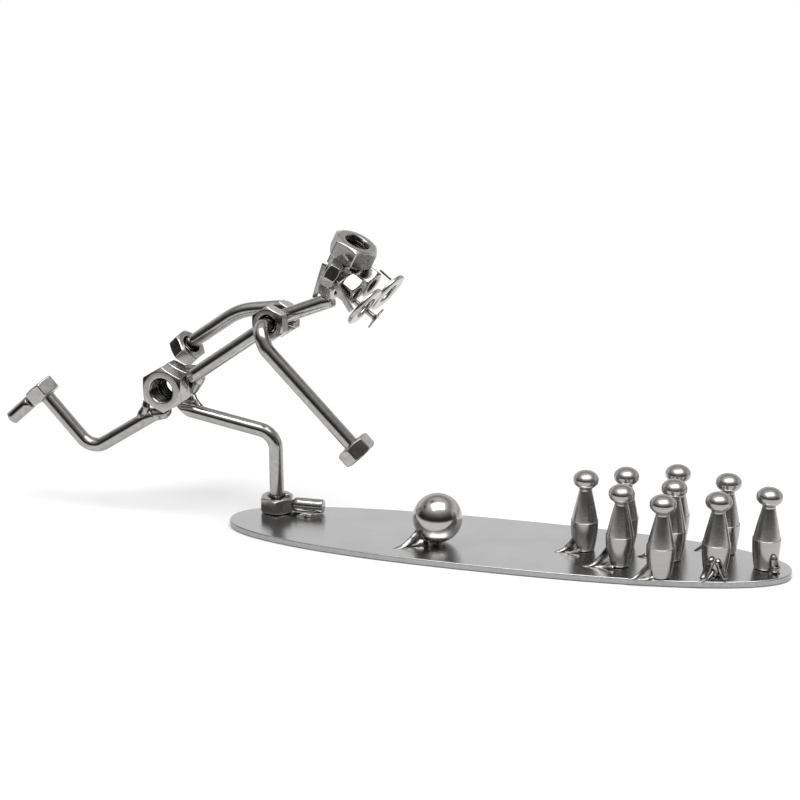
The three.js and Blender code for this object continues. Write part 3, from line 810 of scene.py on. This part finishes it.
def build_figure_welds():
    """Welds of the bowler: thin runs and strands between the pieces they join."""
    weld("hip_bead", "hip_weld", [
        ([(-138.6, 12, 62.2), (-135.6, 11.2, 61.6), (-131, 9.4, 62.4), (-127.6, 8, 64.2)],
         (0.8, 1.9, 1.9, 0.7), 41, 0.08),
        ([(-127.6, 8.6, 60.4), (-130.6, 9.6, 57.8), (-133, 10.6, 53.4), (-135.6, 11, 50)],
         (1.4, 2.3, 2.1, 1.0), 42, 0.08),
    ])
    weld("right_leg_bead", "right_leg_weld", [
        ([(-154.6, 1.8, 41.6), (-152.4, 1.2, 43.8), (-150.8, 1, 47.4), (-150.6, 1, 51)],
         (1.6, 2.3, 1.8, 1.0), 45, 0.06),
        ([(-152, 2.4, 42.2), (-147.4, 2.2, 43.8), (-143.4, 2.6, 44.6), (-140.6, 3.4, 46.6)],
         (2.5, 2.9, 2.6, 1.4), 46, 0.04),
    ])
    weld("left_leg_bead", "left_leg_weld", [
        ([(-135.6, 12, 50.4), (-134.2, 12.2, 47.6), (-132, 12, 44.6)], (0.9, 0.7, 0.9), 48, 0.08),
        ([(-134.4, 12.6, 52), (-133, 12.8, 48.4), (-130.8, 12.6, 45.6), (-128.4, 12.2, 43.6)],
         (0.6, 0.35, 0.4, 0.6), 49, 0.08),
        ([(-142, 10.2, 46), (-138.4, 10.4, 47.4), (-134, 10.8, 47), (-131.4, 11, 44.8)],
         (1.0, 1.8, 2.0, 0.9), 50, 0.06),
    ])
    weld("foot_bead", "foot_weld", [
        ([(-87.4, 6.4, 2.9), (-84.6, 7.4, 3.3), (-81, 8, 3), (-77.4, 9.4, 2.9)],
         (0.3, 0.7, 0.5, 0.35), 51),
        ([(-85.2, 6, 2.8), (-83.4, 7, 3.1), (-81.4, 6.8, 2.8)], (0.35, 0.6, 0.3), 52),
        ([(-92.2, 11.2, 5.4), (-90.4, 11.4, 5.4), (-88.4, 11.6, 5.4)], (2.0, 2.5, 2.0), 58),
        ([(-94.4, 10.4, 9.6), (-93.2, 10.8, 9.8), (-92, 11, 9.4)], (0.6, 0.8, 0.5), 53),
    ])
    weld("shoulder_bead", None, [
        ([(-91.6, 9.4, 85), (-89.2, 9.8, 84.6), (-87, 9.6, 86)], (0.8, 1.4, 0.7), 54),
    ])
    weld("neck_bead", None, [
        ([(-75, 6.4, 98), (-73, 5.4, 99), (-71, 4.8, 99.4)], (0.5, 1.0, 0.6), 56),
    ])


build_plate_and_game()
build_bowler()
build_figure_welds()


# ---------------------------------------------------------------- floor, light and camera
def white_room():
    """A pale floor in a graded room: bright overhead and behind, dark at the front horizon. The
    camera sees the room as a white backdrop."""
    mesh = bpy.data.meshes.new("floor")
    turn = np.linspace(0, TAU, 96, endpoint=False)
    # Half width, half depth and middle of the floor, metres
    reach, depth, middle = 0.36, 0.34, -0.05
    rim = np.stack([reach * np.cos(turn) + middle, depth * np.sin(turn), 0 * turn], -1)
    mesh.from_pydata(rim.tolist(), [], [list(range(96))])
    floor = bpy.data.objects.new("floor", mesh)
    bpy.context.scene.collection.objects.link(floor)
    paint = bpy.data.materials.new("matt white paper")
    paint.use_nodes = True
    paint.node_tree.nodes["Principled BSDF"].inputs["Base Color"].default_value = linear("#f4f4f4")
    paint.node_tree.nodes["Principled BSDF"].inputs["Roughness"].default_value = 0.9
    mesh.materials.append(paint)
    floor.location.z = -0.0002

    world = bpy.data.worlds.new("white room")
    world.use_nodes = True
    bpy.context.scene.world = world
    tree = world.node_tree
    tree.nodes.clear()
    way = add(tree, "ShaderNodeTexCoord").outputs["Generated"]
    split = add(tree, "ShaderNodeSeparateXYZ", {}, Vector=way)
    rise = add(tree, "ShaderNodeMapRange", {"From Min": -1.0, "From Max": 1.0},
               Value=split.outputs["Z"]).outputs[0]
    # Brightness over rise: straight down is 0, the horizon is 0.5 and straight up is 1
    front = ramp(tree, rise, [(0.0, "#9c9c9c"), (0.14, "#f0f0f0"), (0.34, "#f0f0f0"),
                              (0.43, "#c4c4c4"), (0.49, "#3c3c3c"), (0.56, "#181818"),
                              (0.66, "#4c4c4c"), (0.8, "#a4a4a4"), (0.9, "#ffffff")])
    back = ramp(tree, rise, [(0.0, "#808080"), (0.25, "#8a8a8a"), (0.4, "#b4b4b4"),
                             (0.5, "#d0d0d0"), (0.64, "#ffffff"), (0.74, "#dedede"),
                             (0.84, "#9a9a9a"), (0.93, "#f0f0f0")])
    side = add(tree, "ShaderNodeMapRange", {"interpolation_type": "SMOOTHSTEP", "From Min": -0.15,
                                            "From Max": 0.25}, Value=split.outputs["Y"])
    room = add(tree, "ShaderNodeMix", {"data_type": "RGBA"}, _0=side.outputs[0], _6=front, _7=back)
    seen = add(tree, "ShaderNodeLightPath").outputs["Is Camera Ray"]
    light = add(tree, "ShaderNodeMix", {"data_type": "RGBA", "_7": (1, 1, 1, 1)},
                _0=seen, _6=room.outputs[2])
    sky = add(tree, "ShaderNodeBackground", {"Strength": 1.0}, Color=light.outputs[2])
    out = add(tree, "ShaderNodeOutputWorld")
    tree.links.new(sky.outputs[0], out.inputs["Surface"])


def softbox(name, place, target, size, power):
    """A square soft light at a place, facing a target."""
    light = bpy.data.lights.new(name, "AREA")
    light.shape = "RECTANGLE"
    light.size, light.size_y = size
    light.energy = power
    lamp = bpy.data.objects.new(name, light)
    bpy.context.scene.collection.objects.link(lamp)
    lamp.location = place
    lamp.rotation_euler = (Vector(target) - Vector(place)).to_track_quat("-Z", "Y").to_euler()
    return lamp


def camera():
    """The camera: where it stands, where it looks and how far it is rolled."""
    data = bpy.data.cameras.new("camera")
    data.sensor_width = 36
    data.lens = 74.26
    eye = bpy.data.objects.new("camera", data)
    bpy.context.scene.collection.objects.link(eye)
    place = np.array([0.1189, -0.60396, 0.25541])
    forward = unit([-0.2447, 0.9220, -0.2999])
    right = unit(np.cross(forward, [0, 0, 1]))
    roll = math.radians(-0.11)
    up = np.cross(right, forward)
    right, up = (right * math.cos(roll) + up * math.sin(roll),
                 up * math.cos(roll) - right * math.sin(roll))
    turn = Matrix(np.array([right, up, -forward]).T.tolist()).to_4x4()
    eye.matrix_world = Matrix.Translation(place.tolist()) @ turn
    bpy.context.scene.camera = eye


white_room()
bpy.context.scene.view_settings.view_transform = "Standard"
softbox("overhead", (0.1, -0.3, 1.3), (-0.02, 0, 0.03), (1.3, 0.8), 15)
camera()
